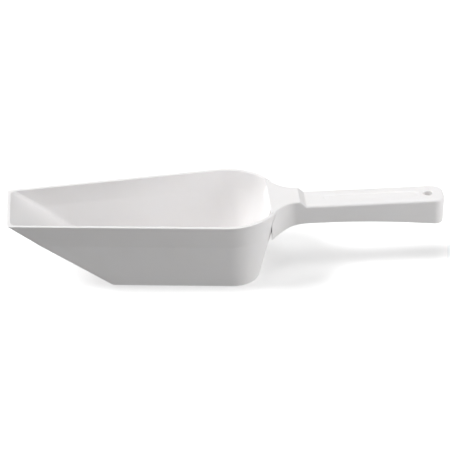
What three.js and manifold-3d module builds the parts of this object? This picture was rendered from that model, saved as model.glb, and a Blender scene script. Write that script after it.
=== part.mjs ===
// Ice scoop in white plastic: a straight-sided bowl with a sloping front, and a separately
// moulded handle. The handle hooks over the bowl's rear wall, slides down a T-shaped key on it
// and is held by two snap catches.
// Millimetres, +Z up. +X runs from the lip to the end of the handle. The origin is on the
// surface that the bowl rests on, halfway along the scoop.
import * as THREE from "three";
import { mergeVertices } from "three/addons/utils/BufferGeometryUtils.js";
import Module from "manifold-3d";

const wasm = await Module();
wasm.setup();

// Whole scoop
const overallLength = 299.4;
const gap = 0.3; // between the two mouldings, wherever they face each other

// Bowl. Depths are measured down from the rim, distances along from the lip.
const bowlLength = 184.4; // lip to rear wall, outside, at the rim
const bowlDepth = 51.5;
const lipWidth = 51.4;
const rearWidth = 92.7; // where the two sides would meet the rear wall's plane, at the rim
const rampLength = 70; // how far the sloping front reaches along
const bandDepth = 15.4; // the steeper band below the rim
const innerBandDepth = 13.6;
const bandDraft = THREE.MathUtils.degToRad(4.5);
const wallDraft = THREE.MathUtils.degToRad(13.2);
const rearDraft = THREE.MathUtils.degToRad(15.2);
const rimCornerRadius = 34;
const floorCornerRadius = 18;
const frontCornerRadius = 1.5;
const innerFrontCornerRadius = 4.5;
const wall = 2.6;
const rampWall = 1.2;
const floorWall = 2.4;
const floorFillet = 1.6; // outside, where the walls turn into the floor
const innerFillet = 3.2;
const rimBevel = 0.4;
const rearCornerSteps = 10;
const frontCornerSteps = 3;
const filletSteps = 3;

// Key and catches on the outside of the rear wall, measured along the slope of that wall
const keyTop = 5;
const keyLength = 12;
const keyNeckWidth = 4.4;
const keyHeadWidth = 11;
const keyHeadThickness = 2.4;
const catchWidth = 5;
const catchHeight = 3;
const catchReach = 1.5;
const catchSpacing = 22;
const catchTop = 11;

// Handle. Its top deck is flush with the rim, and the grip is a step lower.
const deckOverlap = 5.8; // how far the deck reaches in over the bowl from the rear wall
const rootWidth = 50.6;
const rootDepth = 20.6;
const flareLength = 18;
const flarePower = 1.8;
const neckLength = 2.9;
const neckWidth = 22.4;
const stepLength = 3.7;
const shoulderLength = 2.8; // from the step to where the grip has its full width
const gripDrop = 3.3;
const gripWidth = 22.8;
const gripDepth = 16.7; // bottom edge below the rim where the grip is thinnest
const thinnestAlong = 6; // from the start of the grip
const gripEndDrop = 5.9; // how much lower the bottom edge is at the end
const endCornerRadius = 8;
const deckEdgeRadius = 0.9;
const gripEdgeRadius = 1.8;
const gripDraft = THREE.MathUtils.degToRad(1); // the sides stand in towards the top
const endLean = THREE.MathUtils.degToRad(1.6); // the end face stands in towards the bottom
const handleWall = 2.4;
const deckThickness = 2.8;
const handleBottomBevel = 0.5;
const edgeSteps = 4;

// Web, lip and ribs inside the handle
const webThickness = 3;
const webSetback = 0.2; // the web's lower edge stays this far behind the front of the deck
const saddleWidth = 34;
const saddleDepth = 8;
const ribThickness = 1.8;
const ribCount = 5;
const lastRibFromEnd = 24;
const ribClear = 2.5; // how far the ribs stay above the handle's bottom edge

// Hanging hole and the recess in the top of the grip
const holeFromEnd = 11;
const holeDiameter = 6.6;
const bossDiameter = 11.6;
const recessFromGripStart = 10.2;
const recessFromEnd = 18.2;
const recessWidth = 8;
const recessDepth = 0.5;
const roundSteps = 24;

const sideTaper = (rearWidth - lipWidth) / 2 / bowlLength;
const rampSlope = bowlDepth / rampLength;
const deckFront = bowlLength - deckOverlap;
const neckStart = deckFront + flareLength;
const stepStart = neckStart + neckLength;
const stepEnd = stepStart + stepLength;
const gripStart = stepEnd + shoulderLength;
const gripThinnest = gripStart + thinnestAlong;
const holeAlong = overallLength - holeFromEnd;
const webLength = (deckOverlap - webSetback) / Math.sin(rearDraft); // along the wall's slope
const tooFar = 400; // size of the blocks that only trim other solids

// A closed three.js geometry as a solid.
function solidFrom(geometry) {
  const bare = geometry.clone();
  bare.deleteAttribute("normal");
  bare.deleteAttribute("uv");
  const merged = mergeVertices(bare, 1e-4);
  return new wasm.Manifold(
    new wasm.Mesh({
      numProp: 3,
      vertProperties: merged.getAttribute("position").array,
      triVerts: new Uint32Array(merged.index.array),
    }),
  );
}

function geometryFrom(solid) {
  const { numProp, vertProperties, triVerts } = solid.getMesh();
  const faceted = new THREE.BufferGeometry();
  faceted.setAttribute("position", new THREE.BufferAttribute(vertProperties, numProp));
  faceted.setIndex(new THREE.BufferAttribute(triVerts, 1));
  const flat = faceted.toNonIndexed();
  flat.computeVertexNormals();
  return flat;
}

// A solid through closed rings of equal point count, given from the bottom ring to the top one.
// Every ring runs anticlockwise seen from above, and its points come in mirrored pairs:
// point i and point count - 1 - i lie on the two sides of the scoop at the same place along.
function loft(rings) {
  const count = rings[0].length;
  const positions = rings.flat().flatMap((point) => [point.x, point.y, point.z]);
  const index = [];
  for (let level = 0; level < rings.length - 1; level++) {
    for (let i = 0; i < count; i++) {
      const a = level * count + i;
      const b = level * count + ((i + 1) % count);
      index.push(a, b, b + count, a, b + count, a + count);
    }
  }
  const top = (rings.length - 1) * count;
  for (let i = 0; i < count / 2 - 1; i++) {
    const j = count - 1 - i;
    index.push(i, j, j - 1, i, j - 1, i + 1);
    index.push(top + i, top + j - 1, top + j, top + i, top + i + 1, top + j - 1);
  }
  const geometry = new THREE.BufferGeometry();
  geometry.setAttribute("position", new THREE.Float32BufferAttribute(positions, 3));
  geometry.setIndex(index);
  return solidFrom(geometry);
}

function boxSolid(sizeX, sizeY, sizeZ, place) {
  return solidFrom(new THREE.BoxGeometry(sizeX, sizeY, sizeZ).applyMatrix4(place));
}

function prismSolid(shape, bottom, top) {
  const options = { depth: top - bottom, bevelEnabled: false, curveSegments: roundSteps / 4 };
  return solidFrom(new THREE.ExtrudeGeometry(shape, options).translate(0, 0, bottom));
}

function cylinderSolid(diameter, along, bottom, top) {
  const upright = new THREE.CylinderGeometry(diameter / 2, diameter / 2, top - bottom, roundSteps);
  return solidFrom(upright.rotateX(Math.PI / 2).translate(along, 0, (top + bottom) / 2));
}

// One level of the bowl, seen from above: straight front, sides and rear, rounded corners.
// insets are how far the side, front and rear stand in from the bowl's outer surface.
function bowlRing(depth, insets, bandEnd = bandDepth, frontRadius = frontCornerRadius) {
  const draftedIn =
    Math.min(depth, bandEnd) * Math.tan(bandDraft) +
    Math.max(depth - bandEnd, 0) * Math.tan(wallDraft);
  const halfWidth = (along) => lipWidth / 2 + sideTaper * along - draftedIn - insets.side;
  const front = depth / rampSlope + insets.front;
  const rear = bowlLength - depth * Math.tan(rearDraft) - insets.rear;
  const share = THREE.MathUtils.clamp(depth / bowlDepth, 0, 1);
  const rearRadius =
    THREE.MathUtils.lerp(rimCornerRadius, floorCornerRadius, share) - insets.side;
  const sideAngle = Math.atan(sideTaper);
  const spread = Math.hypot(1, sideTaper);
  const half = [];
  const corner = (centreX, radius, from, to, steps) => {
    const centreY = halfWidth(centreX) - radius * spread;
    for (let i = 0; i <= steps; i++) {
      const angle = from + ((to - from) * i) / steps;
      half.push([centreX + radius * Math.cos(angle), centreY + radius * Math.sin(angle)]);
    }
  };
  const sideNormal = Math.PI / 2 + sideAngle;
  corner(front + frontRadius, frontRadius, Math.PI, sideNormal, frontCornerSteps);
  corner(rear - rearRadius, rearRadius, sideNormal, 0, rearCornerSteps);
  const near = half.map(([x, y]) => new THREE.Vector3(x, -y, -depth));
  const far = half.map(([x, y]) => new THREE.Vector3(x, y, -depth));
  return [...near, ...far.reverse()];
}

// The bowl's outer surface as a solid block, its walls turning into the floor in a fillet.
function bowlBlock() {
  const inset = (amount) => ({ side: amount, front: 0, rear: amount });
  const rings = [];
  for (let i = filletSteps; i >= 0; i--) {
    const turn = ((Math.PI / 2) * i) / filletSteps;
    const depth = bowlDepth - floorFillet + floorFillet * Math.sin(turn);
    rings.push(bowlRing(depth, inset(floorFillet * (1 - Math.cos(turn)))));
  }
  rings.push(bowlRing(bandDepth, inset(0)));
  rings.push(bowlRing(rimBevel, inset(0)));
  rings.push(bowlRing(0, inset(rimBevel)));
  return loft(rings);
}

// The space inside the bowl, or a copy of it that stands in by a further margin.
function bowlSpace(margin = 0) {
  const inset = (extra) => ({
    side: wall + margin + extra,
    front: ((rampWall + margin) * Math.hypot(1, rampSlope)) / rampSlope,
    rear: (wall + margin) / Math.cos(rearDraft) + extra,
  });
  const ring = (depth, extra) =>
    bowlRing(depth, inset(extra), innerBandDepth, innerFrontCornerRadius);
  const floor = bowlDepth - floorWall - margin;
  const rings = [];
  for (let i = filletSteps; i >= 0; i--) {
    const turn = ((Math.PI / 2) * i) / filletSteps;
    const depth = floor - innerFillet + innerFillet * Math.sin(turn);
    rings.push(ring(depth, innerFillet * (1 - Math.cos(turn))));
  }
  rings.push(ring(innerBandDepth, 0));
  rings.push(ring(rimBevel, 0));
  rings.push(ring(0, -rimBevel));
  rings.push(ring(-1, -rimBevel));
  return loft(rings);
}

// Places a block against the outside of the rear wall: x out of the wall, z up along its slope.
// offWall is the gap under the block, down is how far its middle lies below the rim.
function onRearWall(offWall, down, sideways = 0) {
  const slope = new THREE.Matrix4().makeRotationY(rearDraft);
  const rimEdge = new THREE.Matrix4().makeTranslation(bowlLength, 0, 0);
  const shift = new THREE.Matrix4().makeTranslation(offWall, sideways, -down);
  return rimEdge.multiply(slope).multiply(shift);
}

// The T-shaped key: its neck passes through the web's slot, and its head lies behind the web.
function keySolid() {
  const sunk = wall / 2;
  const neckReach = webThickness + 2 * gap;
  const middle = keyTop + keyLength / 2;
  const neckLength = sunk + neckReach + keyHeadThickness;
  const neckPlace = onRearWall(neckLength / 2 - sunk, middle);
  const headPlace = onRearWall(neckReach + keyHeadThickness / 2, middle);
  const neck = boxSolid(neckLength, keyNeckWidth, keyLength, neckPlace);
  const head = boxSolid(keyHeadThickness, keyHeadWidth, keyLength, headPlace);
  return neck.add(head);
}

// A snap catch: a ramp above, a flat face below, that springs into a window of the web.
function catchSolid(sideways) {
  const sunk = wall / 2;
  const profile = new THREE.Shape();
  profile.moveTo(-sunk, 0);
  profile.lineTo(catchReach + gap, 0);
  profile.lineTo(catchReach + gap, catchHeight / 3);
  profile.lineTo(0, catchHeight);
  profile.lineTo(-sunk, catchHeight);
  profile.closePath();
  const bar = new THREE.ExtrudeGeometry(profile, { depth: catchWidth, bevelEnabled: false });
  bar.rotateX(Math.PI / 2).translate(0, catchWidth / 2, 0);
  bar.applyMatrix4(onRearWall(0, catchTop + catchHeight, sideways));
  return solidFrom(bar);
}

// Half the handle's width at a place along, at its bottom edge.
function handleHalfWidth(along) {
  const neckHalf = neckWidth / 2;
  if (along < neckStart) {
    const share = (neckStart - along) / (neckStart - deckFront);
    return neckHalf + (rootWidth / 2 - neckHalf) * Math.pow(share, flarePower);
  }
  const widened = THREE.MathUtils.smoothstep(along, stepStart, gripStart);
  const straight = THREE.MathUtils.lerp(neckHalf, gripWidth / 2, widened);
  const intoEnd = along - (overallLength - endCornerRadius);
  if (intoEnd <= 0) return straight;
  const chord = Math.sqrt(Math.max(endCornerRadius ** 2 - intoEnd ** 2, 0));
  return straight - endCornerRadius + chord;
}

function handleTop(along) {
  return -gripDrop * THREE.MathUtils.clamp((along - stepStart) / stepLength, 0, 1);
}

function handleEdgeRadius(along) {
  const share = THREE.MathUtils.clamp((along - stepStart) / stepLength, 0, 1);
  return THREE.MathUtils.lerp(deckEdgeRadius, gripEdgeRadius, share);
}

function handleBottom(along) {
  const intoRoot = THREE.MathUtils.smoothstep(gripStart - along, 0, gripStart - deckFront);
  const intoGrip = Math.max(along - gripThinnest, 0) / (overallLength - gripThinnest);
  return -gripDepth - (rootDepth - gripDepth) * intoRoot - gripEndDrop * intoGrip ** 2;
}

// Places along the handle where its outline has points, from its front to its end.
function handleStations(front) {
  const even = (from, to, steps) =>
    Array.from({ length: steps }, (_, i) => from + ((to - from) * i) / steps);
  const corner = Array.from({ length: 8 }, (_, i) => {
    const angle = ((Math.PI / 2) * i) / 7;
    return overallLength - endCornerRadius * (1 - Math.sin(angle));
  });
  return [
    ...(front < deckFront ? [front] : []),
    ...even(deckFront, neckStart, 9),
    neckStart,
    ...even(stepStart, stepEnd, 4),
    ...even(stepEnd, gripThinnest, 4),
    ...even(gripThinnest, overallLength - endCornerRadius, 9),
    ...corner,
  ];
}

// One ring of the handle. inset moves it in from the outer surface, squarely to the outline,
// and height gives the ring's z from the place along. The sides stand in further the higher the
// ring is, and the end face stands in further the lower it is.
function handleRing(inset, height, front = deckFront) {
  const stations = handleStations(front);
  const outer = stations.map((along) => {
    return new THREE.Vector2(along, handleHalfWidth(Math.max(along, deckFront)));
  });
  const half = outer.map((point, i) => {
    const next = i === outer.length - 1 ? new THREE.Vector2(point.x, 0) : outer[i + 1];
    const leaving = next.clone().sub(point).normalize();
    const arriving = i === 0 ? leaving : point.clone().sub(outer[i - 1]).normalize();
    const direction = arriving.clone().add(leaving).normalize();
    const miter = 1 / direction.dot(leaving);
    const z = height(point.x);
    const fromBottom = z - handleBottom(point.x);
    const fromTop = point.x > gripThinnest ? handleTop(point.x) - handleEdgeRadius(point.x) - z : 0;
    const amount = typeof inset === "function" ? inset(point.x) : inset;
    const inwards = (amount + fromBottom * Math.tan(gripDraft)) * miter;
    const back = direction.y * (amount + fromTop * Math.tan(endLean)) * miter;
    if (i === 0) return new THREE.Vector3(front, point.y - inwards / direction.x, z);
    return new THREE.Vector3(Math.max(point.x + back, front), point.y - direction.x * inwards, z);
  });
  const near = half.map((point) => new THREE.Vector3(point.x, -point.y, point.z));
  return [...near, ...half.reverse()];
}

// The handle's outer surface as a solid block with rounded top edges.
function handleBlock() {
  const rings = [
    handleRing(handleBottomBevel, handleBottom),
    handleRing(0, (along) => handleBottom(along) + handleBottomBevel),
  ];
  for (let i = 0; i <= edgeSteps; i++) {
    const turn = ((Math.PI / 2) * i) / edgeSteps;
    const inset = (along) => handleEdgeRadius(along) * (1 - Math.cos(turn));
    const height = (along) => handleTop(along) - handleEdgeRadius(along) * (1 - Math.sin(turn));
    rings.push(handleRing(inset, height));
  }
  return loft(rings);
}

// The hollow under the deck, open below and towards the bowl.
function handleHollow() {
  const below = (along) => handleBottom(along) - 1;
  const ceiling = (along) => handleTop(along) - deckThickness;
  const front = deckFront - handleWall;
  const atCeiling = (along) => Math.max(handleWall, handleEdgeRadius(along));
  return loft([
    handleRing(handleWall, below, front),
    handleRing(handleWall, (along) => ceiling(along) - handleWall, front),
    handleRing(atCeiling, ceiling, front),
  ]);
}

// A block that ends inside the handle's walls and deck, and stops short of its bottom edge.
function innerRoom(bottomClear) {
  const raisedBottom = (along) => handleBottom(along) + bottomClear;
  return loft([
    handleRing(handleWall / 2, raisedBottom),
    handleRing(handleWall / 2, (along) => handleTop(along) - deckThickness / 2),
  ]);
}

// The plate that lies along the rear wall, with a slot for the key and windows for the catches.
function webSolid() {
  const middle = onRearWall(gap + webThickness / 2, webLength / 2);
  const plate = boxSolid(webThickness, rootWidth, webLength, middle);
  const slotDepth = 2 * webThickness;
  const slotTop = keyTop - gap;
  const slot = boxSolid(
    slotDepth,
    keyNeckWidth + 2 * gap,
    webLength,
    onRearWall(webThickness / 2, slotTop + webLength / 2),
  );
  const windowAt = (sideways) =>
    boxSolid(
      slotDepth,
      catchWidth + 2 * gap,
      catchHeight + 2 * gap,
      onRearWall(webThickness / 2, catchTop + catchHeight / 2, sideways),
    );
  return plate
    .intersect(innerRoom(ribClear))
    .subtract(slot)
    .subtract(windowAt(catchSpacing / 2))
    .subtract(windowAt(-catchSpacing / 2));
}

// The lip that hooks over the rear wall and lies against its inner face. It starts inside the deck.
function saddleSolid() {
  const reach = deckOverlap * Math.cos(rearDraft);
  const height = saddleDepth + deckThickness;
  const slab = boxSolid(reach, saddleWidth, height, onRearWall(-reach / 2, height / 2));
  const underDeckTop = (tooFar + deckThickness) / 2;
  const trim = new THREE.Matrix4().makeTranslation(deckFront, 0, -underDeckTop);
  return slab.intersect(bowlSpace(gap)).intersect(boxSolid(tooFar, tooFar, tooFar, trim));
}

// Cross ribs under the grip, and the boss round the hanging hole.
function innerRibs() {
  const height = gripDepth * 2;
  const lastRib = overallLength - lastRibFromEnd;
  let ribs = cylinderSolid(bossDiameter, holeAlong, -height, -gripDrop - deckThickness / 2);
  for (let i = 0; i < ribCount; i++) {
    const along = THREE.MathUtils.lerp(gripThinnest, lastRib, i / (ribCount - 1));
    const place = new THREE.Matrix4().makeTranslation(along, 0, -height / 2 - gripDrop);
    ribs = ribs.add(boxSolid(ribThickness, gripWidth, height, place));
  }
  return ribs.intersect(innerRoom(ribClear));
}

function recessSolid() {
  const radius = recessWidth / 2;
  const start = gripStart + recessFromGripStart + radius;
  const end = overallLength - recessFromEnd - radius;
  const outline = new THREE.Shape();
  outline.absarc(start, 0, radius, Math.PI / 2, (Math.PI * 3) / 2, false);
  outline.absarc(end, 0, radius, -Math.PI / 2, Math.PI / 2, false);
  outline.closePath();
  return prismSolid(outline, -gripDrop - recessDepth, 1);
}

// Everything above the bottom face of the deck that the handle covers, and the gap round it.
function deckRoom() {
  const front = deckFront - gap;
  return loft([
    handleRing(-gap, () => -deckThickness - gap, front),
    handleRing(-gap, () => 1, front),
  ]);
}

function bowlSolid() {
  const shell = bowlBlock().subtract(bowlSpace()).subtract(deckRoom());
  return shell
    .add(keySolid())
    .add(catchSolid(catchSpacing / 2))
    .add(catchSolid(-catchSpacing / 2));
}

// What the bowl's outer surface fills, with the gap round it, below the deck's bottom face.
function bowlRoom() {
  const inset = { side: -gap, front: -gap, rear: -gap / Math.cos(rearDraft) };
  const levels = [bowlDepth, bandDepth, deckThickness];
  return loft(levels.map((depth) => bowlRing(depth, inset)));
}

function handleSolid() {
  const hood = handleBlock();
  return hood
    .subtract(handleHollow())
    .add(webSolid())
    .add(innerRibs())
    .subtract(bowlRoom())
    .add(saddleSolid())
    .subtract(recessSolid())
    .subtract(cylinderSolid(holeDiameter, holeAlong, -bowlDepth, 1));
}

function piece(name, solid, colour, roughness) {
  const material = new THREE.MeshStandardMaterial({ color: colour, roughness, metalness: 0 });
  const mesh = new THREE.Mesh(geometryFrom(solid), material);
  mesh.name = name;
  return mesh;
}

// The mouldings are laid out from the lip and the rim, and the group puts the bowl's floor at z = 0.
const mouldings = new THREE.Group();
mouldings.position.set(-overallLength / 2, 0, bowlDepth);
mouldings.add(piece("bowl", bowlSolid(), 0xf1f0ee, 0.38));
mouldings.add(piece("handle", handleSolid(), 0xf1f0ee, 0.42));

const scoop = new THREE.Group();
scoop.add(mouldings);

export default scoop;
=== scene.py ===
# Ice scoop in white plastic: an open bowl with a sloping front, and a handle that hooks onto it.
# Sizes in the dictionaries are millimetres, along from the lip and down from the rim.
import math
import bpy
import bmesh
from mathutils import Matrix, Vector


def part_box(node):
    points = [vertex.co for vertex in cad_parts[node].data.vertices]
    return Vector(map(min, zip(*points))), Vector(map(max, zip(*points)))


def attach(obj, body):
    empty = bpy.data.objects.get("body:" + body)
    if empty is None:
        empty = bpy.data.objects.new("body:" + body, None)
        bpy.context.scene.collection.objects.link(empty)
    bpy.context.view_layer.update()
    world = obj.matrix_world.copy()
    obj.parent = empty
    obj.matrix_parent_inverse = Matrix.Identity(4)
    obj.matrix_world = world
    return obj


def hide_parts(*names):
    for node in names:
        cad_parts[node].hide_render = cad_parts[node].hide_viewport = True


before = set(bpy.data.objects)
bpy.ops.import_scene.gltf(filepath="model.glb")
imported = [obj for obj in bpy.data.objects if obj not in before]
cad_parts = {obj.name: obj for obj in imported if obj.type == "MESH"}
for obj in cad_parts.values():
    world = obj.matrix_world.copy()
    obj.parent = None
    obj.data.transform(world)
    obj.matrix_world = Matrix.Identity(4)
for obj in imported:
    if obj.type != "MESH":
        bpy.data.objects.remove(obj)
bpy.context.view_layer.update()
scene = bpy.context.scene

scoop = {
    "length": 299.4,
    "height": 51.5,
    "gap": 0.06,  # the two mouldings sit tight against each other
    "toMetres": 0.001,
    "cutPast": 1.0,  # how far a cutting shape reaches past the surface it opens
}


def mix(a, b, t):
    return a + (b - a) * t


def clamp01(t):
    return min(max(t, 0.0), 1.0)


def eased(t):
    # from 0 to 1, slow at both ends
    return t * t * (3 - 2 * t)


def steps(first, last, count):
    return [mix(first, last, i / count) for i in range(count)]


def softRamp(x, soft):
    # zero below, x above, and a parabola from -soft to soft
    if x <= -soft:
        return 0.0
    return x if x >= soft else (x + soft) ** 2 / (4 * soft)


def inFrame(along, side, height):
    # from lip and rim sizes to the scoop's own frame, in metres
    return Vector((along - scoop["length"] / 2, side, height + scoop["height"])) * scoop["toMetres"]


def newObject(name, bm):
    mesh = bpy.data.meshes.new(name)
    bm.to_mesh(mesh)
    bm.free()
    made = bpy.data.objects.new(name, mesh)
    scene.collection.objects.link(made)
    return made


def bakeModifiers(thing):
    graph = bpy.context.evaluated_depsgraph_get()
    baked = bpy.data.meshes.new_from_object(thing.evaluated_get(graph))
    thing.modifiers.clear()
    before = thing.data
    thing.data = baked
    bpy.data.meshes.remove(before)


def combine(target, tool, operation):
    step = target.modifiers.new("combine", "BOOLEAN")
    step.operation = operation
    step.solver = "EXACT"
    step.object = tool
    bakeModifiers(target)
    spent = tool.data
    bpy.data.objects.remove(tool)
    bpy.data.meshes.remove(spent)


def loft(name, rings, columns=1, dip=None):
    # skin through closed rings of mirrored pairs; the last ring's cap has columns across it
    bm = bmesh.new()
    levels = [[bm.verts.new(inFrame(*point)) for point in ring] for ring in rings]
    count = len(rings[0])
    half = count // 2
    first, last = levels[0], levels[-1]
    rows = []
    for i in range(half):
        near, far = rings[-1][i], rings[-1][count - 1 - i]
        row = [last[i]]
        for k in range(1, columns):
            x, y, z = (mix(a, b, k / columns) for a, b in zip(near, far))
            row.append(bm.verts.new(inFrame(x, y, z - (dip(x, y) if dip else 0.0))))
        rows.append(row + [last[count - 1 - i]])
    for lower, upper in zip(levels, levels[1:]):
        for i in range(count):
            j = (i + 1) % count
            if upper is last and i == count - 1:
                bm.faces.new([lower[i], lower[j]] + rows[0])
            elif upper is last and i == half - 1:
                bm.faces.new([lower[i], lower[j]] + rows[-1][::-1])
            else:
                bm.faces.new((lower[i], lower[j], upper[j], upper[i]))
    for i in range(half - 1):
        j = count - 1 - i
        bm.faces.new((first[j], first[j - 1], first[i + 1], first[i]))
        for k in range(columns):
            bm.faces.new((rows[i][k], rows[i + 1][k], rows[i + 1][k + 1], rows[i][k + 1]))
    return newObject(name, bm)


def roundedBox(name, size, place, edge=0.0):
    # place is in lip and rim sizes
    bm = bmesh.new()
    bmesh.ops.create_cube(bm, size=1.0)
    bmesh.ops.scale(bm, vec=size, verts=bm.verts)
    if edge:
        bmesh.ops.bevel(bm, geom=bm.edges[:], offset=edge, segments=2, profile=0.5, affect="EDGES")
    for vert in bm.verts:
        vert.co = inFrame(*(place @ vert.co))
    return newObject(name, bm)


def lathe(name, outline, along, segments):
    # outline is radius and height from the bottom up, turned round an upright line
    bm = bmesh.new()
    levels = []
    for radius, height in outline:
        turn = [2 * math.pi * k / segments for k in range(segments)]
        levels.append([
            bm.verts.new(inFrame(along + radius * math.cos(t), radius * math.sin(t), height))
            for t in turn
        ])
    for lower, upper in zip(levels, levels[1:]):
        for k in range(segments):
            j = (k + 1) % segments
            bm.faces.new((lower[k], lower[j], upper[j], upper[k]))
    bm.faces.new(levels[0][::-1])
    bm.faces.new(levels[-1])
    return newObject(name, bm)


surfaceFinish = {
    "mergeDistance": 1e-7,  # metres
    "sharpAngle": math.radians(28),  # edges that bend more stay sharp
    "flatWeight": 90,  # how strongly the large flat faces set the shading
}


def finishPiece(thing, node, material):
    # keep inside the CAD node's box, smooth the curved faces and hand the piece to the frame
    low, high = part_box(node)
    bm = bmesh.new()
    bm.from_mesh(thing.data)
    bmesh.ops.remove_doubles(bm, verts=bm.verts, dist=surfaceFinish["mergeDistance"])
    bmesh.ops.dissolve_degenerate(bm, edges=bm.edges, dist=surfaceFinish["mergeDistance"])
    for vert in bm.verts:
        vert.co = Vector(min(max(c, l), h) for c, l, h in zip(vert.co, low, high))
    bm.to_mesh(thing.data)
    bm.free()
    mesh = thing.data
    mesh.materials.clear()
    mesh.materials.append(material)
    mesh.polygons.foreach_set("material_index", [0] * len(mesh.polygons))
    mesh.polygons.foreach_set("use_smooth", [True] * len(mesh.polygons))
    mesh.set_sharp_from_angle(angle=surfaceFinish["sharpAngle"])
    weigh = thing.modifiers.new("flatFaces", "WEIGHTED_NORMAL")
    weigh.mode = "FACE_AREA"
    weigh.weight = surfaceFinish["flatWeight"]
    weigh.keep_sharp = True
    bakeModifiers(thing)
    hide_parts(node)
    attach(thing, "root")
    print(thing.name, len(thing.data.polygons), "faces")


class Wire:
    # a socket of a node tree; arithmetic on it adds Math nodes
    def __init__(self, board, socket):
        self.board = board
        self.socket = socket

    def out(self, name):
        return Wire(self.board, self.socket.node.outputs[name])

    def math(self, operation, *values):
        sockets = dict(enumerate(values))
        return self.board.add("ShaderNodeMath", {"operation": operation}, sockets)

    def __add__(self, other):
        return self.math("ADD", self, other)

    def __radd__(self, other):
        return self.math("ADD", other, self)

    def __sub__(self, other):
        return self.math("SUBTRACT", self, other)

    def __rsub__(self, other):
        return self.math("SUBTRACT", other, self)

    def __mul__(self, other):
        return self.math("MULTIPLY", self, other)

    def __rmul__(self, other):
        return self.math("MULTIPLY", other, self)

    def __truediv__(self, other):
        return self.math("DIVIDE", self, other)

    def __rtruediv__(self, other):
        return self.math("DIVIDE", other, self)

    def __pow__(self, other):
        return self.math("POWER", self, other)

    def between(self, low, high):
        # 0 at low, 1 at high, eased
        settings = {"interpolation_type": "SMOOTHSTEP"}
        sockets = {"Value": self, "From Min": low, "From Max": high}
        return self.board.add("ShaderNodeMapRange", settings, sockets)


class Board:
    # adds nodes to one tree
    def __init__(self, tree):
        self.tree = tree

    def add(self, kind, settings=None, sockets=None, out=0):
        node = self.tree.nodes.new(kind)
        for name, value in (settings or {}).items():
            setattr(node, name, value)
        for name, value in (sockets or {}).items():
            if isinstance(value, Wire):
                self.tree.links.new(value.socket, node.inputs[name])
            else:
                node.inputs[name].default_value = value
        return Wire(self, node.outputs[out]) if node.outputs else None


# moulded white polypropylene; lengths here are millimetres
plasticFinish = {
    "white": (0.937, 0.924, 0.925, 1.0),
    "shade": (0.917, 0.902, 0.898, 1.0),  # where the melt cooled last, a touch warmer
    "noiseRoughness": 0.55,
    "noiseMiddle": 0.5,
    "cloudSize": 45.0,
    "cloudDetail": 3.0,
    "cloudRange": (0.35, 0.7),
    "cloudTint": 0.7,
    "grainSize": 0.55,  # spark-eroded mould texture
    "grainDetail": 2.0,
    "grainHeight": 0.012,
    "waveSize": 22.0,  # shrinkage waves in the flat walls
    "waveDetail": 1.0,
    "waveHeight": 0.05,
    "scuffSize": 3.2,
    "scuffDetail": 5.0,
    "scuffRange": (0.56, 0.74),
    "scuffStretch": 0.16,  # scuffs run along the scoop
    "scuffTurn": math.radians(9),
    "scuffTint": 0.3,
    "scuffDepth": 0.006,
    "edgeRadius": 0.35,
    "edgeSamples": 6,
    "edgeRange": (0.004, 0.12),
    "lipReach": 22.0,  # how far from the lip the wear goes
    "roughness": 0.40,
    "cloudRoughness": 0.10,
    "grainRoughness": 0.06,
    "scuffRoughness": 0.12,
    "lipRoughness": 0.10,
    "edgeShine": 0.09,
    "ior": 1.49,
    "specular": 0.45,
    "subsurface": 0.10,
    "subsurfaceRadius": (1.0, 0.95, 0.85),
    "subsurfaceReach": 1.5,
}


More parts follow.
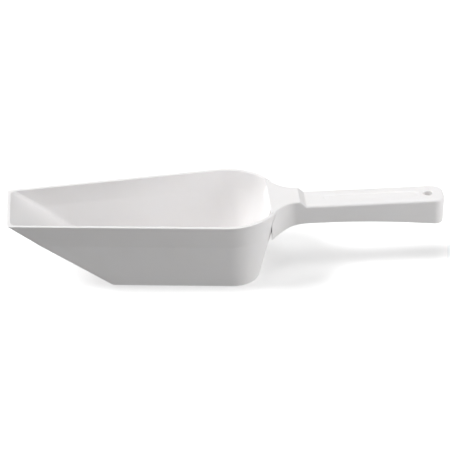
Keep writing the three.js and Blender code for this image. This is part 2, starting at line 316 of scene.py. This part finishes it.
def plastic(name, grain, scuffs):
    # grain scales the mould texture, scuffs how much the ice has rubbed the surface
    look = plasticFinish
    material = bpy.data.materials.new(name)
    material.use_nodes = True
    tree = material.node_tree
    tree.nodes.clear()
    board = Board(tree)
    perMetre = 1 / scoop["toMetres"]

    def noise(size, detail, place):
        return board.add("ShaderNodeTexNoise", {}, {
            "Vector": place,
            "Scale": perMetre / size,
            "Detail": detail,
            "Roughness": look["noiseRoughness"],
        })

    place = board.add("ShaderNodeTexCoord").out("Object")
    stretch = board.add("ShaderNodeMapping", {}, {
        "Vector": place,
        "Rotation": (0.0, 0.0, look["scuffTurn"]),
        "Scale": (look["scuffStretch"], 1.0, 1.0),
    })
    clouds = noise(look["cloudSize"], look["cloudDetail"], place)
    scuffNoise = noise(look["scuffSize"], look["scuffDetail"], stretch)
    rubbed = scuffNoise.between(*look["scuffRange"]) * scuffs
    grainNoise = noise(look["grainSize"], look["grainDetail"], place)
    waves = noise(look["waveSize"], look["waveDetail"], place)

    # edges that stand proud wear smooth and shiny
    roundedNormal = board.add("ShaderNodeBevel", {"samples": look["edgeSamples"]}, {
        "Radius": look["edgeRadius"] * scoop["toMetres"],
    })
    flatNormal = board.add("ShaderNodeNewGeometry").out("Normal")
    turned = board.add("ShaderNodeVectorMath", {"operation": "DOT_PRODUCT"}, {
        0: roundedNormal, 1: flatNormal,
    }).out("Value")
    edge = (1.0 - turned).between(*look["edgeRange"])

    # the lip is what digs into the ice
    along = board.add("ShaderNodeSeparateXYZ", {}, {0: place}).out("X")
    fromLip = along + scoop["length"] / 2 * scoop["toMetres"]
    nearLip = fromLip.between(look["lipReach"] * scoop["toMetres"], 0.0)

    tint = clouds.between(*look["cloudRange"]) * look["cloudTint"] + rubbed * look["scuffTint"]
    # sockets 6 and 7 take the two colours, output 2 gives the mixed one
    colour = board.add("ShaderNodeMix", {"data_type": "RGBA"}, {
        0: tint, 6: look["white"], 7: look["shade"],
    }, 2)
    roughness = (
        look["roughness"]
        + (clouds - look["noiseMiddle"]) * look["cloudRoughness"]
        + (grainNoise - look["noiseMiddle"]) * look["grainRoughness"]
        + rubbed * look["scuffRoughness"]
        + nearLip * rubbed * look["lipRoughness"]
        - edge * look["edgeShine"]
    )
    height = (
        grainNoise * (look["grainHeight"] * grain)
        + waves * look["waveHeight"]
        - rubbed * look["scuffDepth"]
    ) * scoop["toMetres"]
    bump = board.add("ShaderNodeBump", {}, {
        "Strength": 1.0, "Distance": 1.0, "Height": height, "Normal": roundedNormal,
    })
    surface = board.add("ShaderNodeBsdfPrincipled", {}, {
        "Base Color": colour,
        "Roughness": roughness,
        "Normal": bump,
        "IOR": look["ior"],
        "Specular IOR Level": look["specular"],
        "Subsurface Weight": look["subsurface"],
        "Subsurface Radius": look["subsurfaceRadius"],
        "Subsurface Scale": look["subsurfaceReach"] * scoop["toMetres"],
    })
    board.add("ShaderNodeOutputMaterial", {}, {"Surface": surface})
    return material


bowlPlastic = plastic("bowlPlastic", grain=1.0, scuffs=1.0)
handlePlastic = plastic("handlePlastic", grain=0.7, scuffs=0.6)
print("plastics made")

bowl = {
    "length": 184.4,  # lip to rear wall, outside, at the rim
    "depth": 51.5,
    "lipWidth": 51.4,
    "rearWidth": 92.7,
    "rampLength": 70.0,
    "bandDepth": 15.4,
    "innerBandDepth": 13.6,
    "bandSoft": 0.7,  # how far the bend below the band is rounded, up and down
    "innerBandSoft": 1.2,
    "bandDraft": math.radians(4.5),
    "wallDraft": math.radians(13.2),
    "rearDraft": math.radians(15.2),
    "rimCorner": 34.0,
    "floorCorner": 18.0,
    "frontCorner": 1.5,
    "innerFrontCorner": 4.5,
    "wall": 2.6,
    "rampWall": 1.2,
    "floorWall": 2.4,
    "floorFillet": 1.6,
    "innerFillet": 3.2,
    "rampFillet": 4.0,
    "innerRampFillet": 6.0,
    "rimRound": 0.4,
    "cornerSteps": 44,
    "frontSteps": 8,
    "filletSteps": 8,
    "rimSteps": 4,
    "bendHalfSteps": 2,
}

bowl["taper"] = (bowl["rearWidth"] - bowl["lipWidth"]) / 2 / bowl["length"]
bowl["rampSlope"] = bowl["depth"] / bowl["rampLength"]
bowl["frontShift"] = bowl["rampWall"] * math.hypot(1.0, bowl["rampSlope"]) / bowl["rampSlope"]


def rampFront(depth, floorDepth, fillet):
    # how far along the sloping front is at a depth, eased into the floor
    bend = math.atan(bowl["rampSlope"])
    above = floorDepth - depth
    if above > fillet * (1 - math.cos(bend)):
        return depth / bowl["rampSlope"]
    reach = floorDepth / bowl["rampSlope"] + fillet * math.tan(bend / 2)
    return reach - math.sqrt(max(2 * fillet * above - above**2, 0.0))


def bowlRing(depth, side, front, rear, inner=False):
    # one level of the bowl; side and rear are how far it stands in from the outer surface
    bandEnd, soft = ("innerBandDepth", "innerBandSoft") if inner else ("bandDepth", "bandSoft")
    lean = math.tan(bowl["bandDraft"])
    leanMore = math.tan(bowl["wallDraft"]) - lean
    drafted = depth * lean + softRamp(depth - bowl[bandEnd], bowl[soft]) * leanMore
    rearAt = bowl["length"] - depth * math.tan(bowl["rearDraft"]) - rear
    corner = mix(bowl["rimCorner"], bowl["floorCorner"], clamp01(depth / bowl["depth"])) - side
    sideNormal = math.pi / 2 + math.atan(bowl["taper"])
    spread = math.hypot(1.0, bowl["taper"])
    half = []

    def arc(centre, radius, start, stop, count):
        halfWidth = bowl["lipWidth"] / 2 + bowl["taper"] * centre - drafted - side
        middle = halfWidth - radius * spread
        for i in range(count + 1):
            angle = mix(start, stop, i / count)
            half.append((centre + radius * math.cos(angle), middle + radius * math.sin(angle)))

    frontCorner = bowl["innerFrontCorner" if inner else "frontCorner"]
    arc(front + frontCorner, frontCorner, math.pi, sideNormal, bowl["frontSteps"])
    arc(rearAt - corner, corner, sideNormal, 0.0, bowl["cornerSteps"])
    return [(x, -y, -depth) for x, y in half] + [(x, y, -depth) for x, y in reversed(half)]


def outerLevel(depth, inset):
    front = rampFront(depth, bowl["depth"], bowl["rampFillet"])
    return bowlRing(depth, inset, front, inset)


def innerLevel(depth, inset):
    floorDepth = bowl["depth"] - bowl["floorWall"]
    front = rampFront(depth, floorDepth, bowl["innerRampFillet"]) + bowl["frontShift"]
    wall = bowl["wall"]
    return bowlRing(depth, wall + inset, front, wall / math.cos(bowl["rearDraft"]) + inset, True)


def quarter(radius, count):
    # how far in and how far down a rounded corner goes, from the wall to the flat
    turns = [math.pi / 2 * i / count for i in range(count + 1)]
    return [(radius * (1 - math.cos(t)), radius * (1 - math.sin(t))) for t in turns]


def bowlShell():
    # one skin: up the outside, over the rim and down the inside
    bend = bowl["bendHalfSteps"]
    shares = [i / bend for i in range(-bend, bend + 1)]
    rim = quarter(bowl["rimRound"], bowl["rimSteps"])
    rings = []
    for inset, above in reversed(quarter(bowl["floorFillet"], bowl["filletSteps"])):
        rings.append(outerLevel(bowl["depth"] - above, inset))
    for share in reversed(shares):
        rings.append(outerLevel(bowl["bandDepth"] + share * bowl["bandSoft"], 0.0))
    for inset, below in rim:
        rings.append(outerLevel(below, inset))
    for inset, below in reversed(rim):
        rings.append(innerLevel(below, -inset))
    for share in shares:
        rings.append(innerLevel(bowl["innerBandDepth"] + share * bowl["innerBandSoft"], 0.0))
    floorDepth = bowl["depth"] - bowl["floorWall"]
    for inset, above in quarter(bowl["innerFillet"], bowl["filletSteps"]):
        rings.append(innerLevel(floorDepth - above, inset))
    return loft("bowlShell", rings)


handle = {
    "deckOverlap": 5.8,  # how far the deck reaches in over the bowl
    "rootWidth": 50.6,
    "rootDepth": 20.6,
    "flareLength": 18.0,
    "flarePower": 1.8,
    "neckLength": 2.9,
    "neckWidth": 22.4,
    "stepLength": 3.7,
    "stepSoft": 0.8,  # how far both bends of the step are rounded, each way
    "shoulderLength": 2.8,
    "gripDrop": 3.3,
    "gripWidth": 22.8,
    "gripDepth": 16.7,
    "thinnestAlong": 6.0,
    "gripEndDrop": 5.9,
    "endCorner": 8.0,
    "deckEdge": 0.9,
    "gripEdge": 1.8,
    "draft": math.radians(1.0),  # the sides stand in towards the top
    "endLean": math.radians(1.6),  # the end face stands in towards the bottom
    "wall": 2.4,
    "deckThickness": 2.8,
    "bottomRound": 0.5,
    "bottomSteps": 3,
    "edgeSteps": 8,
    "hollowSteps": 4,
    "flareSteps": 24,
    "neckSteps": 3,
    "stepSteps": 18,
    "shoulderSteps": 10,
    "gripSteps": 96,
    "cornerSteps": 16,
    "columns": 44,  # faces across the top
}

handle["front"] = bowl["length"] - handle["deckOverlap"]
handle["neckStart"] = handle["front"] + handle["flareLength"]
handle["stepStart"] = handle["neckStart"] + handle["neckLength"]
handle["stepEnd"] = handle["stepStart"] + handle["stepLength"]
handle["gripStart"] = handle["stepEnd"] + handle["shoulderLength"]
handle["thinnest"] = handle["gripStart"] + handle["thinnestAlong"]

hangingHole = {
    "along": scoop["length"] - 11.0,
    "diameter": 6.6,
    "bossDiameter": 11.6,
    "lipRadius": 0.45,
    "lipTurn": math.radians(78),
    "lipSteps": 6,
    "lipRise": 0.2,
    "segments": 64,
}

recess = {
    "start": handle["gripStart"] + 10.2,
    "end": scoop["length"] - 18.2,
    "width": 8.0,
    "depth": 0.5,
    "slope": 0.55,  # how wide its sloping edge is
}

ribs = {
    "count": 5,
    "first": handle["thinnest"],
    "last": scoop["length"] - 24.0,
    "thickness": 1.8,
    "clear": 2.5,  # above the handle's bottom edge
    "wallShare": 0.6,  # how deep in the side walls the ribs' ends lie
}

joint = {
    "webThickness": 3.0,
    "webSetback": 0.2,
    "saddleWidth": 34.0,
    "saddleDepth": 8.0,
    "keyTop": 5.0,
    "keyLength": 12.0,
    "keyNeckWidth": 4.4,
    "keyHeadWidth": 11.0,
    "keyHeadThickness": 2.4,
    "catchWidth": 5.0,
    "catchHeight": 3.0,
    "catchReach": 1.5,
    "catchSpacing": 22.0,
    "catchTop": 11.0,
    "edge": 0.2,
}

joint["webLength"] = (handle["deckOverlap"] - joint["webSetback"]) / math.sin(bowl["rearDraft"])


def handleHalfWidth(along):
    neckHalf = handle["neckWidth"] / 2
    if along < handle["neckStart"]:
        share = (handle["neckStart"] - along) / handle["flareLength"]
        return neckHalf + (handle["rootWidth"] / 2 - neckHalf) * share ** handle["flarePower"]
    t = clamp01((along - handle["stepStart"]) / (handle["gripStart"] - handle["stepStart"]))
    straight = mix(neckHalf, handle["gripWidth"] / 2, eased(t))
    corner = handle["endCorner"]
    intoEnd = along - (scoop["length"] - corner)
    if intoEnd <= 0:
        return straight
    return straight - corner + math.sqrt(max(corner**2 - intoEnd**2, 0.0))


def stepShare(along):
    # 0 on the deck, 1 on the grip, with both bends of the step softened
    length = handle["stepLength"]
    soft = handle["stepSoft"]
    into = along - handle["stepStart"]
    return (softRamp(into, soft) - softRamp(into - length, soft)) / length


def handleTop(along):
    return -handle["gripDrop"] * stepShare(along)


def handleEdge(along):
    return mix(handle["deckEdge"], handle["gripEdge"], stepShare(along))


def handleBottom(along):
    t = clamp01((handle["gripStart"] - along) / (handle["gripStart"] - handle["front"]))
    gripShare = max(along - handle["thinnest"], 0) / (scoop["length"] - handle["thinnest"])
    rootDrop = (handle["rootDepth"] - handle["gripDepth"]) * eased(t)
    return -handle["gripDepth"] - rootDrop - handle["gripEndDrop"] * gripShare**2


def handleStations(front):
    soft = handle["stepSoft"]
    corner = handle["endCorner"]
    turns = [math.pi / 2 * i / handle["cornerSteps"] for i in range(handle["cornerSteps"] + 1)]
    return (
        ([front] if front < handle["front"] else [])
        + steps(handle["front"], handle["neckStart"], handle["flareSteps"])
        + steps(handle["neckStart"], handle["stepStart"] - soft, handle["neckSteps"])
        + steps(handle["stepStart"] - soft, handle["stepEnd"] + soft, handle["stepSteps"])
        + steps(handle["stepEnd"] + soft, handle["thinnest"], handle["shoulderSteps"])
        + steps(handle["thinnest"], scoop["length"] - corner, handle["gripSteps"])
        + [scoop["length"] - corner * (1 - math.sin(t)) for t in turns]
    )


def handleRing(inset, height, front=None):
    # inset moves the outline in squarely, height gives z; both are functions of the place along
    # higher rings stand in further at the sides, lower ones at the end
    front = handle["front"] if front is None else front
    stations = handleStations(front)
    outer = [Vector((x, handleHalfWidth(max(x, handle["front"])))) for x in stations]
    half = []
    for i, point in enumerate(outer):
        following = Vector((point.x, 0.0)) if i == len(outer) - 1 else outer[i + 1]
        leaving = (following - point).normalized()
        arriving = leaving if i == 0 else (point - outer[i - 1]).normalized()
        direction = (arriving + leaving).normalized()
        miter = 1 / direction.dot(leaving)
        z = height(point.x)
        fromBottom = z - handleBottom(point.x)
        fromTop = 0.0
        if point.x > handle["thinnest"]:
            fromTop = handleTop(point.x) - handleEdge(point.x) - z
        inwards = (inset(point.x) + fromBottom * math.tan(handle["draft"])) * miter
        back = direction.y * (inset(point.x) + fromTop * math.tan(handle["endLean"])) * miter
        if i == 0:
            half.append((front, point.y - inwards / direction.x, z))
        else:
            half.append((max(point.x + back, front), point.y - direction.x * inwards, z))
    return [(x, -y, z) for x, y, z in half] + half[::-1]


def recessDip(x, y):
    # how far the grip's top is let down at a place
    radius = recess["width"] / 2
    nearest = min(max(x, recess["start"] + radius), recess["end"] - radius)
    inside = radius - math.hypot(x - nearest, y)
    return recess["depth"] * eased(clamp01(inside / recess["slope"]))


def handleBlock():
    rings = []
    for inset, above in reversed(quarter(handle["bottomRound"], handle["bottomSteps"])):
        rings.append(handleRing(lambda x: inset, lambda x: handleBottom(x) + above))
    for i in range(handle["edgeSteps"] + 1):
        t = math.pi / 2 * i / handle["edgeSteps"]
        rings.append(handleRing(
            lambda x: handleEdge(x) * (1 - math.cos(t)),
            lambda x: handleTop(x) - handleEdge(x) * (1 - math.sin(t)),
        ))
    return loft("handleGrip", rings, handle["columns"], recessDip)


def handleHollow():
    wall = handle["wall"]
    front = handle["front"] - wall
    rings = [handleRing(lambda x: wall, lambda x: handleBottom(x) - scoop["cutPast"], front)]
    for i in range(handle["hollowSteps"] + 1):
        t = math.pi / 2 * i / handle["hollowSteps"]
        rings.append(handleRing(
            lambda x: wall + (max(wall, handleEdge(x)) - wall) * (1 - math.cos(t)),
            lambda x: handleTop(x) - handle["deckThickness"] - wall * (1 - math.sin(t)),
            front,
        ))
    return loft("hollow", rings)


def innerRoom():
    # ends inside the walls and the deck, and stops short of the bottom edge
    midWall = handle["wall"] / 2
    return loft("room", [
        handleRing(lambda x: midWall, lambda x: handleBottom(x) + ribs["clear"]),
        handleRing(lambda x: midWall, lambda x: handleTop(x) - handle["deckThickness"] / 2),
    ])


def onRearWall(offWall, down, sideways=0.0):
    # a place against the outside of the rear wall, turned with its slope
    slope = Matrix.Rotation(bowl["rearDraft"], 4, "Y")
    shift = Matrix.Translation((offWall, sideways, -down))
    return Matrix.Translation((bowl["length"], 0.0, 0.0)) @ slope @ shift


def webPlate():
    # the plate along the rear wall, slotted for the key, with a window for each catch
    thick = joint["webThickness"]
    gap = scoop["gap"]
    length = joint["webLength"]
    middle = onRearWall(gap + thick / 2, length / 2)
    web = roundedBox("web", (thick, handle["rootWidth"], length), middle)
    combine(web, innerRoom(), "INTERSECT")
    slotPlace = onRearWall(thick / 2, joint["keyTop"] - gap + length / 2)
    slotSize = (2 * thick, joint["keyNeckWidth"] + 2 * gap, length)
    combine(web, roundedBox("slot", slotSize, slotPlace), "DIFFERENCE")
    windowSize = (2 * thick, joint["catchWidth"] + 2 * gap, joint["catchHeight"] + 2 * gap)
    for sideways in (-joint["catchSpacing"] / 2, joint["catchSpacing"] / 2):
        place = onRearWall(thick / 2, joint["catchTop"] + joint["catchHeight"] / 2, sideways)
        combine(web, roundedBox("window", windowSize, place), "DIFFERENCE")
    return web


def bowlRoom(margin, top):
    # what the bowl's outer surface fills, with a margin round it, up to a depth below the rim
    rearMargin = -margin / math.cos(bowl["rearDraft"])
    band = bowl["bandDepth"]
    soft = bowl["bandSoft"]
    depths = [bowl["depth"] + margin, band + soft, band, band - soft, top]
    return loft("bowlRoom", [
        bowlRing(d, -margin, d / bowl["rampSlope"] - margin, rearMargin) for d in depths
    ])


def bowlSpaceInside(margin):
    # the space in the bowl, standing in from its walls by a margin
    wall = bowl["wall"] + margin
    shift = bowl["frontShift"] * (bowl["rampWall"] + margin) / bowl["rampWall"]
    rear = wall / math.cos(bowl["rearDraft"])
    floorDepth = bowl["depth"] - bowl["floorWall"] - margin
    depths = [floorDepth, bowl["innerBandDepth"], -scoop["cutPast"]]
    return loft("space", [
        bowlRing(d, wall, d / bowl["rampSlope"] + shift, rear, True) for d in depths
    ])


def saddleLip():
    # hooks over the rear wall and lies against its inner face
    reach = handle["deckOverlap"] * math.cos(bowl["rearDraft"])
    height = joint["saddleDepth"] + handle["deckThickness"]
    place = onRearWall(-reach / 2, height / 2)
    saddle = roundedBox("saddle", (reach, joint["saddleWidth"], height), place, joint["edge"])
    combine(saddle, bowlSpaceInside(scoop["gap"]), "INTERSECT")
    # a block below the middle of the deck, larger than the lip on every side
    trimSize = (4 * reach, 2 * joint["saddleWidth"], 2 * height)
    below = Matrix.Translation((handle["front"], 0.0, -height - handle["deckThickness"] / 2))
    combine(saddle, roundedBox("trim", trimSize, below), "INTERSECT")
    return saddle


def ribTree():
    # a row of cross ribs whose lower edges follow the handle's bottom edge
    tree = bpy.data.node_groups.new("ribRow", "GeometryNodeTree")
    tree.interface.new_socket("Geometry", in_out="OUTPUT", socket_type="NodeSocketGeometry")
    named = {}
    wanted = [("Count", "NodeSocketInt")] + [
        (name, "NodeSocketFloat")
        for name in ("First", "Last", "Thickness", "Width", "Top", "Bottom", "Thinnest", "Bow")
    ]
    for name, kind in wanted:
        named[name] = tree.interface.new_socket(name, in_out="INPUT", socket_type=kind).identifier
    board = Board(tree)
    given = board.add("NodeGroupInput")
    spacing = (given.out("Last") - given.out("First")) / (given.out("Count") - 1.0)
    start = board.add("ShaderNodeCombineXYZ", {}, {"X": given.out("First")})
    stride = board.add("ShaderNodeCombineXYZ", {}, {"X": spacing})
    line = board.add("GeometryNodeMeshLine", {"mode": "OFFSET", "count_mode": "TOTAL"}, {
        "Count": given.out("Count"), "Start Location": start, "Offset": stride,
    })
    size = board.add("ShaderNodeCombineXYZ", {}, {
        "X": given.out("Thickness"), "Y": given.out("Width"), "Z": 1.0,
    })
    rib = board.add("GeometryNodeMeshCube", {}, {"Size": size})
    row = board.add("GeometryNodeInstanceOnPoints", {}, {"Points": line, "Instance": rib})
    solid = board.add("GeometryNodeRealizeInstances", {}, {"Geometry": row})
    place = board.add("GeometryNodeInputPosition")
    parts = board.add("ShaderNodeSeparateXYZ", {}, {0: place})
    past = parts.out("X") - given.out("Thinnest")
    lower = given.out("Bottom") - given.out("Bow") * past * past
    isUpper = parts.out("Z").between(-0.01, 0.01)  # 0 on a rib's lower face, 1 on its upper one
    height = lower + (given.out("Top") - lower) * isUpper
    target = board.add("ShaderNodeCombineXYZ", {}, {
        "X": parts.out("X"), "Y": parts.out("Y"), "Z": height,
    })
    shaped = board.add("GeometryNodeSetPosition", {}, {"Geometry": solid, "Position": target})
    dressed = board.add("GeometryNodeSetMaterial", {}, {
        "Geometry": shaped, "Material": handlePlastic,
    })
    board.add("NodeGroupOutput", {}, {0: dressed})
    return tree, named


def ribRow():
    tree, named = ribTree()
    made = newObject("ribRow", bmesh.new())
    grow = made.modifiers.new("ribs", "NODES")
    grow.node_group = tree
    toMetres = scoop["toMetres"]
    width = handle["gripWidth"] - 2 * ribs["wallShare"] * handle["wall"]
    gripReach = scoop["length"] - handle["thinnest"]
    values = {
        "Count": ribs["count"],
        "First": inFrame(ribs["first"], 0, 0).x,
        "Last": inFrame(ribs["last"], 0, 0).x,
        "Thickness": ribs["thickness"] * toMetres,
        "Width": width * toMetres,
        "Top": inFrame(0, 0, -handle["gripDrop"] - handle["deckThickness"] / 2).z,
        "Bottom": inFrame(0, 0, -handle["gripDepth"] + ribs["clear"]).z,
        "Thinnest": inFrame(handle["thinnest"], 0, 0).x,
        "Bow": handle["gripEndDrop"] / gripReach**2 / toMetres,
    }
    for name, value in values.items():
        grow[named[name]] = value
    bakeModifiers(made)
    return made


def holeBoss():
    radius = hangingHole["bossDiameter"] / 2
    along = hangingHole["along"]
    top = -handle["gripDrop"] - handle["deckThickness"] / 2
    bottom = handleBottom(along - radius) + ribs["clear"]
    return lathe("boss", [(radius, bottom), (radius, top)], along, hangingHole["segments"])


def holeCutter():
    # widens at the top of the grip into a small rounded lip
    radius = hangingHole["diameter"] / 2
    lip = hangingHole["lipRadius"]
    top = -handle["gripDrop"]
    outline = [(radius, -scoop["height"]), (radius, top - lip)]
    for i in range(1, hangingHole["lipSteps"] + 1):
        t = hangingHole["lipTurn"] * i / hangingHole["lipSteps"]
        outline.append((radius + lip * (1 - math.cos(t)), top - lip * (1 - math.sin(t))))
    outline.append((radius + lip, top + hangingHole["lipRise"]))
    outline.append((radius + lip, top + 2 * scoop["cutPast"]))
    return lathe("holeCutter", outline, hangingHole["along"], hangingHole["segments"])


def deckCutter():
    # the room that the deck and the gap round it take out of the bowl's rim
    gap = scoop["gap"]
    front = handle["front"] - gap
    return loft("deckCutter", [
        handleRing(lambda x: -gap, lambda x: -handle["deckThickness"] - gap, front),
        handleRing(lambda x: -gap, lambda x: scoop["cutPast"], front),
    ])


def rearKey():
    # T-shaped: its neck passes through the web's slot, and its head lies behind the web
    sunk = bowl["wall"] / 2
    reach = joint["webThickness"] + 2 * scoop["gap"]
    head = joint["keyHeadThickness"]
    length = joint["keyLength"]
    middle = joint["keyTop"] + length / 2
    neckLength = sunk + reach + head / 2
    neckPlace = onRearWall(neckLength / 2 - sunk, middle)
    key = roundedBox("key", (neckLength, joint["keyNeckWidth"], length), neckPlace)
    headSize = (head, joint["keyHeadWidth"], length)
    headPlace = onRearWall(reach + head / 2, middle)
    combine(key, roundedBox("keyHead", headSize, headPlace, joint["edge"]), "UNION")
    return key


def snapCatch(sideways):
    # ramp above, flat face below
    sunk = bowl["wall"] / 2
    reach = joint["catchReach"] + scoop["gap"]
    tall = joint["catchHeight"]
    profile = [(-sunk, 0), (reach, 0), (reach, tall / 3), (0.0, tall), (-sunk, tall)]
    place = onRearWall(0.0, joint["catchTop"] + tall, sideways)
    bm = bmesh.new()
    sides = []
    for y in (-joint["catchWidth"] / 2, joint["catchWidth"] / 2):
        sides.append([bm.verts.new(inFrame(*(place @ Vector((x, y, z))))) for x, z in profile])
    near, far = sides
    bm.faces.new(near)
    bm.faces.new(far[::-1])
    for i in range(len(profile)):
        j = (i + 1) % len(profile)
        bm.faces.new((near[j], near[i], far[i], far[j]))
    return newObject("catch", bm)


bowlPiece = bowlShell()
combine(bowlPiece, deckCutter(), "DIFFERENCE")
combine(bowlPiece, rearKey(), "UNION")
for side in (-joint["catchSpacing"] / 2, joint["catchSpacing"] / 2):
    combine(bowlPiece, snapCatch(side), "UNION")
finishPiece(bowlPiece, "bowl", bowlPlastic)

handlePiece = handleBlock()
combine(handlePiece, handleHollow(), "DIFFERENCE")
combine(handlePiece, webPlate(), "UNION")
combine(handlePiece, ribRow(), "UNION")
combine(handlePiece, holeBoss(), "UNION")
combine(handlePiece, bowlRoom(scoop["gap"], handle["deckThickness"]), "DIFFERENCE")
combine(handlePiece, saddleLip(), "UNION")
combine(handlePiece, holeCutter(), "DIFFERENCE")
finishPiece(handlePiece, "handle", handlePlastic)

# pale floor; sizes of the floor and of the lamps are metres
floor = {
    "size": 12.0,
    "colour": (0.93, 0.93, 0.93, 1.0),
    "roughness": 0.7,
    "glow": 0.32,
}


def makeFloor():
    bm = bmesh.new()
    bmesh.ops.create_grid(bm, x_segments=1, y_segments=1, size=floor["size"] / 2)
    made = newObject("floor", bm)
    material = bpy.data.materials.new("floorPaint")
    material.use_nodes = True
    shader = material.node_tree.nodes["Principled BSDF"]
    shader.inputs["Base Color"].default_value = floor["colour"]
    shader.inputs["Roughness"].default_value = floor["roughness"]
    shader.inputs["Emission Color"].default_value = floor["colour"]
    shader.inputs["Emission Strength"].default_value = floor["glow"]
    made.data.materials.append(material)
    made.visible_diffuse = False  # the card below lights the walls instead
    made.visible_shadow = False


makeFloor()

# soft studio light; places in metres, each lamp faces the scoop
lamps = {
    "backLeft": {"place": (-3.0, 3.0, 1.75), "size": 2.5, "watts": 97.0},
    "overLeft": {"place": (-2.2, 0.0, 2.5), "size": 1.1, "watts": 74.0},
    "overhead": {"place": (0.0, -0.4, 3.3), "size": 1.3, "watts": 24.0},
    "frontRight": {"place": (0.58, -0.56, 0.31), "size": 0.4, "watts": 2.8},
    "right": {"place": (0.85, 0.0, 0.2), "size": 0.4, "watts": 2.08},
}

# light from a white card under the scoop
bounce = {
    "colour": (1.0, 1.0, 1.0, 1.0),
    "strength": 1.86,
    "power": 4.0,  # how quickly it fades towards the horizon
}


def addLamp(name, values):
    lamp = bpy.data.lights.new(name, "AREA")
    lamp.shape = "SQUARE"
    lamp.size = values["size"]
    lamp.energy = values["watts"]
    made = bpy.data.objects.new(name, lamp)
    made.location = values["place"]
    made.rotation_euler = (-Vector(values["place"])).to_track_quat("-Z", "Y").to_euler()
    scene.collection.objects.link(made)


def addBounce():
    scene.world = bpy.data.worlds.new("studio")
    scene.world.use_nodes = True
    tree = scene.world.node_tree
    tree.nodes.clear()
    board = Board(tree)
    direction = board.add("ShaderNodeTexCoord").out("Generated")
    below = board.add("ShaderNodeSeparateXYZ", {}, {0: direction}).out("Z") * -1.0
    below = below.math("MAXIMUM", below, 0.0)
    light = board.add("ShaderNodeBackground", {}, {
        "Color": bounce["colour"],
        "Strength": below ** bounce["power"] * bounce["strength"],
    })
    board.add("ShaderNodeOutputWorld", {}, {"Surface": light})


for name, values in lamps.items():
    addLamp(name, values)
addBounce()
scene.view_settings.view_transform = "Standard"

camera = {
    "azimuth": math.radians(-3.6),
    "elevation": math.radians(30.0),
    "roll": math.radians(-0.91),
    "fromLip": (148.17, -11.40, 1503.05),  # right, up and back of the lip's middle
    "lens": 176.68,
    "clip": (0.05, 50.0),  # metres
}


def addCamera():
    azimuth, elevation, roll = camera["azimuth"], camera["elevation"], camera["roll"]
    right = Vector((math.cos(azimuth), math.sin(azimuth), 0.0))
    towards = Vector((-math.sin(azimuth), math.cos(azimuth), 0.0))
    upright = Vector((0.0, 0.0, 1.0))
    up = towards * math.sin(elevation) + upright * math.cos(elevation)
    back = upright * math.sin(elevation) - towards * math.cos(elevation)
    rightRolled = right * math.cos(roll) + up * math.sin(roll)
    upRolled = up * math.cos(roll) - right * math.sin(roll)
    x, y, z = camera["fromLip"]
    place = inFrame(*(rightRolled * x + upRolled * y + back * z))
    data = bpy.data.cameras.new("camera")
    data.lens = camera["lens"]
    data.clip_start, data.clip_end = camera["clip"]
    made = bpy.data.objects.new("camera", data)
    turn = Matrix((rightRolled, upRolled, back)).transposed().to_4x4()
    made.matrix_world = Matrix.Translation(place) @ turn
    scene.collection.objects.link(made)
    scene.camera = made


addCamera()
print("floor, lamps and camera set")
